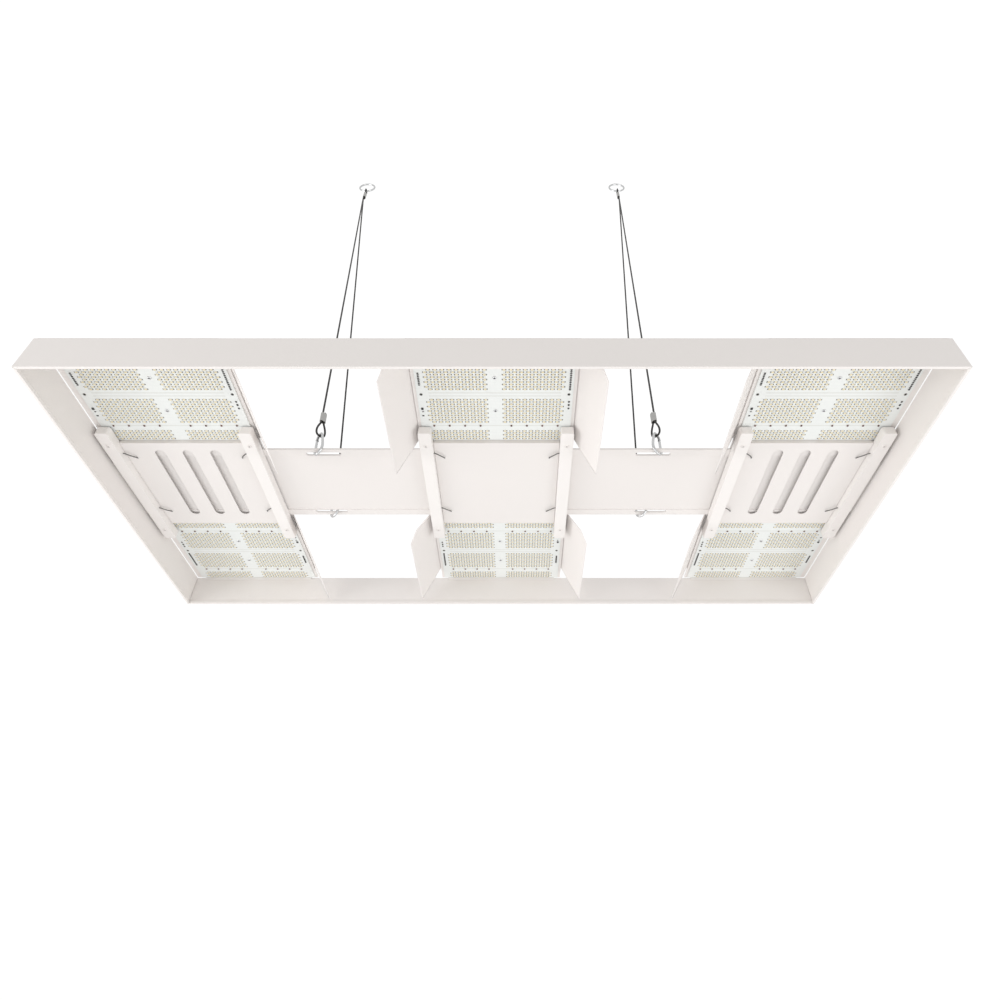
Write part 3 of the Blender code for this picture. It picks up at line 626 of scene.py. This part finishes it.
def part_rows():
    """Small parts along the board's two long edges: (x, y, width, depth, height, material number)."""
    parts = []
    for i in range(8):
        parts.append((-96.6, -35 + 2.7 * i, 2.0, 1.5, 0.9, 0))
    for i in range(13):
        parts.append((96.8, -43 + 2.9 * i, 2.0, 1.6, 0.9, 0))
    parts += [
        (-97.0, 24.5, 2.6, 3.4, 1.2, 0), (-97.0, 37.0, 2.2, 1.6, 0.8, 0), (-96.6, 29.8, 1.8, 1.2, 0.6, 0),
        (96.8, 12.5, 1.8, 2.6, 0.7, 0), (96.8, 18.0, 1.8, 3.2, 0.7, 0), (96.8, 24.0, 1.8, 2.4, 0.7, 0),
    ]
    parts += [(-96.5, 66.5, 7.0, 17.0, 4.0, 1), (96.5, 66.5, 7.0, 17.0, 4.0, 1)]
    return parts


def edge_part_mesh(finishes):
    """Chip parts, terminal blocks and marks of one board half."""
    bm = bmesh.new()
    for x, y, width, depth, tall, slot in part_rows():
        x, y, width, depth, tall = (v * MM for v in (x, y, width, depth, tall))
        soft = min(width, depth) * 0.12
        shell(
            bm,
            [
                rectangle(x, y, 0, width, depth), rectangle(x, y, -tall + soft, width, depth),
                rectangle(x, y, -tall, width - 2 * soft, depth - 2 * soft),
            ],
            [slot, slot, slot],
        )
        for end in (-1, 1):
            foot = x + end * (width / 2 + 0.00025)
            shell(
                bm,
                [
                    rectangle(foot, y, 0, 0.0005, depth * 0.8),
                    rectangle(foot, y, -0.0002, 0.0004, depth * 0.7),
                ],
                [2, 2],
            )
    marks = ((2.1, 0.0), (2.1, 0.00006), (1.3, 0.00006))
    for side in (-1, 1):
        shell(bm, [disc(side * 96.0 * MM, 0, -z, r * MM, 20) for r, z in marks], [2, 2, 3])
    looks = [finishes[key] for key in ("black", "terminal", "solder", "dark")]
    return finish_mesh(bm, "edge_parts", looks)


def screw_mesh(name, radius, tall, finish, dark):
    """A button head with a hexagon socket, facing down."""
    bm = bmesh.new()
    sides = 24
    socket = radius * 0.45

    def hexagon(z):
        points = []
        for i in range(sides):
            turn = -2 * math.pi * i / sides
            reach = socket / math.cos((turn % (math.pi / 3)) - math.pi / 6) * 0.9
            points.append((reach * math.cos(turn), reach * math.sin(turn), z))
        return points

    outer = [(1.0, 0.0), (1.0, 0.25), (0.94, 0.55), (0.80, 0.80), (0.66, 0.95), (0.56, 1.0)]
    loops = [disc(0, 0, -tall * h, radius * r, sides) for r, h in outer]
    loops += [hexagon(-tall), hexagon(-tall * 0.35)]
    # The socket's floor takes the second finish: painted shade in the recess.
    shell(bm, loops, [0] * 6 + [0, 1])
    return finish_mesh(bm, name, [finish, dark], 40)


BOARD_SCREW_Y = 27.7 * MM


def build_boards(finishes):
    leds, traces, reds = led_mesh(finishes), trace_mesh(finishes), red_mesh(finishes)
    edges = edge_part_mesh(finishes)
    screw = screw_mesh("board_screw", 0.0025, 0.0014, finishes["steel"], finishes["dark"])
    for column in COLUMNS:
        for half, side in HALVES.items():
            low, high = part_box(f"board_{column}_{half}")
            middle = (low + high) / 2
            where = Matrix.Translation((middle.x, middle.y, low.z))
            if side > 0:
                where = where @ Matrix.Rotation(math.pi, 4, "Z")
            place_piece(f"leds_{column}_{half}", leds, where)
            place_piece(f"copper_{column}_{half}", traces, where)
            place_piece(f"red_leds_{column}_{half}", reds, where)
            place_piece(f"edge_parts_{column}_{half}", edges, where)
            for i, y in enumerate((-BOARD_SCREW_Y, BOARD_SCREW_Y)):
                spot = where @ Matrix.Translation((0, y, 0))
                place_piece(f"board_screw_{column}_{half}_{i}", screw, spot)


# ---------------------------------------------------------------- board leads and fasteners

BOARD_LEAD_RADIUS = 0.00075
LEAD_ENDS = {"near": -0.0741, "far": 0.0466}
LEAD_BEND = (
    (0, 0, 0), (4.2, 0.6, 0.6), (8.2, 3.2, 0.8), (11.8, 7.2, -0.4), (14.0, 11.0, -2.2), (14.9, 13.4, -3.4),
)
RAIL_SCREW_Y = (-0.0935, 0.0955)
RIVET_INSET = 0.0060
RIVET_SHARES = (0.12, 0.5, 0.80)
PANEL_SCREWS = (0.086, 0.052)


def build_board_leads(finishes):
    """Short leads that leave each rail, bend towards the far wall and go up through the column's cover."""
    bm = bmesh.new()
    rings = ((1.35, 0.0), (1.35, 0.0003), (1.15, 0.0004), (0.8, 0.0004), (0.75, 0.0002))
    shell(bm, [disc(0, 0, -z, r * MM, 20) for r, z in rings], [0] * 5)
    grommet = finish_mesh(bm, "grommet", [finishes["grommet"]], 40)
    for column in COLUMNS:
        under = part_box(f"cover_{column}")[0].z
        for rail, side in (("a", -1), ("b", 1)):
            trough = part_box(f"rail_{column}_{rail}")
            edge = trough[0].x if side > 0 else trough[1].x
            for end, y in LEAD_ENDS.items():
                start = Vector((edge + side * 0.0012, y, under - 0.0036))
                path = [start + Vector((-side * x, y, -z)) * MM for x, y, z in LEAD_BEND]
                tube(
                    f"board_lead_{column}_{rail}_{end}", round_path(path, 5), BOARD_LEAD_RADIUS, 10,
                    finishes["board_lead"],
                )
                hole = Matrix.Translation((path[-1].x, path[-1].y, under))
                place_piece(f"grommet_{column}_{rail}_{end}", grommet, hole)


def up_side(place):
    return Matrix.Translation(place) @ Matrix.Rotation(math.pi, 4, "X")


def build_rail_screws(finishes):
    screw = screw_mesh("rail_screw", 0.0032, 0.0011, finishes["coat"], finishes["shade"])
    for column in COLUMNS:
        for rail in ("a", "b"):
            low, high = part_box(f"rail_{column}_{rail}")
            for i, y in enumerate(RAIL_SCREW_Y):
                where = Matrix.Translation(((low.x + high.x) / 2, y, low.z))
                place_piece(f"rail_screw_{column}_{rail}_{i}", screw, where)


def rivet_mesh(finishes):
    bm = bmesh.new()
    rings = ((2.4, 0.0), (2.35, 0.0004), (2.0, 0.0009), (1.5, 0.0011), (0.8, 0.0011), (0.7, 0.0006))
    shell(bm, [disc(0, 0, -z, r * MM, 20) for r, z in rings], [0] * 6)
    return finish_mesh(bm, "rivet", [finishes["aluminium"]], 40)


def build_top_fasteners(finishes):
    """Rivets through the wings' lips and screws that hold each panel to the crossbar."""
    rivet = rivet_mesh(finishes)
    screw = screw_mesh("panel_screw", 0.0036, 0.0022, finishes["steel"], finishes["dark"])
    wings = [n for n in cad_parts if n.startswith("wing_")]
    for wing in sorted(wings):
        low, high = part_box(wing)
        facing = wing.split("_")[2]
        lip = high.x - RIVET_INSET if facing == "left" else low.x + RIVET_INSET
        for i, share in enumerate(RIVET_SHARES):
            where = up_side((lip, low.y + share * (high.y - low.y), high.z))
            place_piece(f"rivet_{wing}_{i}", rivet, where)
    out, along = PANEL_SCREWS
    for column, x in COLUMNS.items():
        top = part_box(f"panel_{column}")[1].z
        for i, side in enumerate((-1, 1)):
            for j, y in enumerate((-along, along)):
                where = up_side((x + side * out, y, top))
                place_piece(f"panel_screw_{column}_{i}{j}", screw, where)


def build_driver_details(finishes):
    """The screws in the driver's end caps and in its feet."""
    screw = screw_mesh("cap_screw", 0.0028, 0.0016, finishes["steel"], finishes["dark"])
    for name, side in (("driver_cap_mains", -1), ("driver_cap_output", 1)):
        low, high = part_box(name)
        face = low.y if side < 0 else high.y
        turn = Matrix.Rotation(math.radians(-90 if side < 0 else 90), 4, "X")
        for i, x in enumerate((low.x + 0.007, high.x - 0.007)):
            for j, z in enumerate((low.z + 0.007, high.z - 0.007)):
                where = Matrix.Translation((x, face, z)) @ turn
                place_piece(f"{name}_screw_{i}{j}", screw, where)
    low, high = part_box("driver_housing")
    foot = screw_mesh("foot_screw", 0.0036, 0.0022, finishes["steel"], finishes["dark"])
    for i, x in enumerate((low.x + 0.0045, high.x - 0.0045)):
        for j, y in enumerate((-0.105, -0.035, 0.070, 0.105)):
            where = up_side((x, y, low.z + 0.004))
            place_piece(f"foot_screw_{i}{j}", foot, where)


def sleeve(name, start, along, length, base, tip, finishes):
    """A ribbed, tapered strain relief."""
    steps = 24
    along = Vector(along).normalized()
    points = [Vector(start) + along * length * i / steps for i in range(steps + 1)]

    def taper(share):
        rib = 0.06 if int(share * steps) % 4 < 2 else -0.02
        return 1 + (tip / base - 1) * share + (rib if share < 0.92 else 0)

    tube(name, points, base, 20, finishes["black"], taper)


def build_lead_details(finishes):
    """Strain reliefs, box glands, box lids and the clips that hold the leads on the bar."""
    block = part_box("output_block")
    exit_z = (block[0].z + block[1].z) / 2
    for name, side in (("left", -1), ("right", 1)):
        sleeve(
            f"strain_relief_{name}", (side * 0.010, block[1].y - 0.001, exit_z), (0, 1, -0.05), 0.010,
            0.0052, 0.0040, finishes,
        )
        low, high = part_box(f"terminal_box_{name}")
        face = high.x if side < 0 else low.x
        sleeve(
            f"box_gland_{name}", (face + side * 0.001, LEAD_RUN_Y, low.z + 0.0049), (-side, 0, -0.03), 0.012,
            0.0058, 0.0042, finishes,
        )
        build_lid(name, low, high, finishes)
        for i, x in enumerate((0.160, 0.235, 0.300)):
            build_clip(f"cable_clip_{name}_{i}", side * x, finishes)


def build_lid(name, low, high, finishes):
    """A stepped lid with four screws on a terminal box."""
    middle = (low + high) / 2
    width, depth = high.x - low.x, high.y - low.y
    bm = bmesh.new()
    steps = ((0.0, 0.004), (0.0012, 0.004), (0.0018, 0.0052), (0.0018, 0.010), (0.0012, 0.0108))
    loops = [rectangle(0, 0, -z, width - inset, depth - inset) for z, inset in steps]
    shell(bm, loops, [0] * len(loops))
    lid = finish_mesh(bm, f"box_lid_{name}", [finishes["black"]])
    place_piece(f"box_lid_{name}", lid, up_side((middle.x, middle.y, high.z)))
    screw = screw_mesh(f"lid_screw_{name}", 0.0018, 0.0010, finishes["steel"], finishes["dark"])
    for i, x in enumerate((low.x + 0.0046, high.x - 0.0046)):
        for j, y in enumerate((low.y + 0.0046, high.y - 0.0046)):
            where = up_side((x, y, high.z + 0.0017))
            place_piece(f"lid_screw_{name}_{i}{j}", screw, where)


def build_clip(name, x, finishes):
    """A P-shaped clip: a strap over the lead and a foot with a screw."""
    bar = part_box("crossbar")[1].z
    outer, inner, middle, foot, thick = 0.0045, 0.0034, 0.0033, 0.0125, 0.0011
    turns = np.linspace(0.3, math.pi - 0.3, 9)
    outline = [(-foot, 0.0), (-outer, 0.0), (-outer, middle)]
    outline += [(-outer * math.cos(t), middle + outer * math.sin(t)) for t in turns]
    outline += [(outer, middle), (outer, 0.0)]
    inside = [(inner, 0.0), (inner, middle)]
    inside += [(inner * math.cos(t), middle + inner * math.sin(t)) for t in turns]
    inside += [(-inner, middle), (-inner, thick), (-foot, thick)]
    bm = bmesh.new()
    ends = [[bm.verts.new((t, y, z)) for y, z in outline + inside] for t in (-0.004, 0.004)]
    count = len(ends[0])
    for i in range(count):
        j = (i + 1) % count
        bm.faces.new((ends[0][i], ends[1][i], ends[1][j], ends[0][j]))
    bm.faces.new(ends[0])
    bm.faces.new(list(reversed(ends[1])))
    bmesh.ops.recalc_face_normals(bm, faces=bm.faces)
    clip = finish_mesh(bm, name, [finishes["black"]])
    place_piece(name, clip, Matrix.Translation((x, LEAD_RUN_Y, bar + 0.00005)))
    screw = screw_mesh(f"{name}_screw", 0.0026, 0.0014, finishes["steel"], finishes["dark"])
    place_piece(f"{name}_screw", screw, up_side((x, LEAD_RUN_Y - 0.0085, bar + thick)))


def build_hook_rivets(finishes):
    """The rivet each gate turns on, with its two rounded heads."""
    bm = bmesh.new()
    pivot_w, half_gate = 0.0352, 0.00175
    rings = ((0.8, 0.0), (1.15, 0.0001), (1.05, 0.0004), (0.7, 0.0006))
    shell(bm, [disc(0, 0, -z, r * MM, 14) for r, z in rings], [0] * 4)
    head = finish_mesh(bm, "hook_rivet", [finishes["steel"]], 60)
    for name in HOOKS:
        pivot = hook_frame(name) @ Matrix.Translation((-BOW, 0, pivot_w))
        for i, turn in enumerate((90, -90)):
            reach = math.copysign(half_gate, turn)
            where = pivot @ Matrix.Translation((0, reach, 0)) @ Matrix.Rotation(math.radians(turn), 4, "X")
            place_piece(f"hook_rivet_{name}_{i}", head, where)


# ---------------------------------------------------------------- finishes on the CAD nodes

def paint_nodes(finishes):
    by_prefix = {
        "wall_": "coat", "crossbar": "plate", "cover_": "plate", "rail_": "rail", "wing_": "wing",
        "board_": "mask", "panel_": "coat", "driver_": "driver", "dimmer": "black", "mains_": "black",
        "output_": "black", "terminal_": "black", "hook_": "steel", "gate_": "steel", "ring_": "steel",
        "ferrule_": "ferrule", "top_ferrule_": "ferrule", "rope_": "rope", "lead_": "lead",
    }
    for name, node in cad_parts.items():
        finish = next(f for prefix, f in by_prefix.items() if name.startswith(prefix))
        node.data.materials.clear()
        node.data.materials.append(finishes[finish])


def make_finishes():
    warm = (0.870, 0.835, 0.812)
    return {
        "coat": powder_coat("white_powder_coat", warm),
        # The crossbar and covers wear the same white coat as the walls, drawn about 3% darker as painted
        # shade.
        "plate": powder_coat("plate_coat_painted_shade", (0.842, 0.806, 0.784)),
        "rail": powder_coat("rail_coat", (0.90, 0.868, 0.846)),
        "wing": powder_coat("wing_coat", (0.875, 0.838, 0.818)),
        "shade": moulded_plastic("socket_shade", (0.58, 0.56, 0.54)),
        "mask": solder_mask(),
        "trace": powder_coat("copper_run", (0.74, 0.75, 0.72)),
        "package": moulded_plastic("led_package", (0.86, 0.84, 0.77), 0.45),
        "phosphor": phosphor("led_phosphor", (0.88, 0.78, 0.50), (0.78, 0.66, 0.38)),
        "red_lens": phosphor("red_led_lens", (0.16, 0.07, 0.06), (0.07, 0.03, 0.03)),
        "solder": grained_metal("solder", (0.42, 0.41, 0.39), (0.25, 0.24, 0.23), 0.45),
        # Dark brown-grey pads: partly the contacts' own colour, partly painted shade beside each LED.
        "pad": moulded_plastic("dark_pad_and_painted_shade", (0.150, 0.138, 0.120), 0.5),
        "terminal": moulded_plastic("terminal_white", (0.80, 0.80, 0.78), 0.4),
        "black": moulded_plastic("black_plastic", (0.030, 0.030, 0.032)),
        # Near black: painted shade on the screws' socket floors, also used for the centres of the board
        # marks.
        "dark": moulded_plastic("socket_dark", (0.020, 0.020, 0.020), 0.7),
        "aluminium": grained_metal(
            "mill_aluminium", (0.82, 0.82, 0.81), (0.72, 0.72, 0.71), 0.36, (0.04, 1, 1)
        ),
        "driver": grained_metal(
            "driver_aluminium", (0.66, 0.67, 0.68), (0.58, 0.59, 0.60), 0.38, (1, 0.04, 1)
        ),
        "steel": grained_metal("zinc_steel", (0.78, 0.79, 0.80), (0.62, 0.63, 0.64), 0.24),
        "ferrule": grained_metal(
            "crimped_alloy", (0.60, 0.60, 0.59), (0.42, 0.42, 0.41), 0.38, (1, 1, 0.3), 0.0001
        ),
        "rope": rope_jacket(),
        "lead": cable_jacket("cable_jacket", (0.022, 0.022, 0.022)),
        "board_lead": cable_jacket("board_lead_jacket", (0.100, 0.097, 0.093)),
        "grommet": moulded_plastic("grommet_white", (0.70, 0.69, 0.68), 0.5),
    }


def build():
    bpy.context.scene.view_settings.view_transform = "Standard"
    finishes = make_finishes()
    build_camera()
    build_ropes(finishes["rope"])
    build_leads(finishes["lead"])
    build_world()
    build_stage()
    build_lights()
    paint_nodes(finishes)
    build_boards(finishes)
    build_board_leads(finishes)
    build_rail_screws(finishes)
    build_top_fasteners(finishes)
    build_driver_details(finishes)
    build_lead_details(finishes)
    build_hook_rivets(finishes)


build()
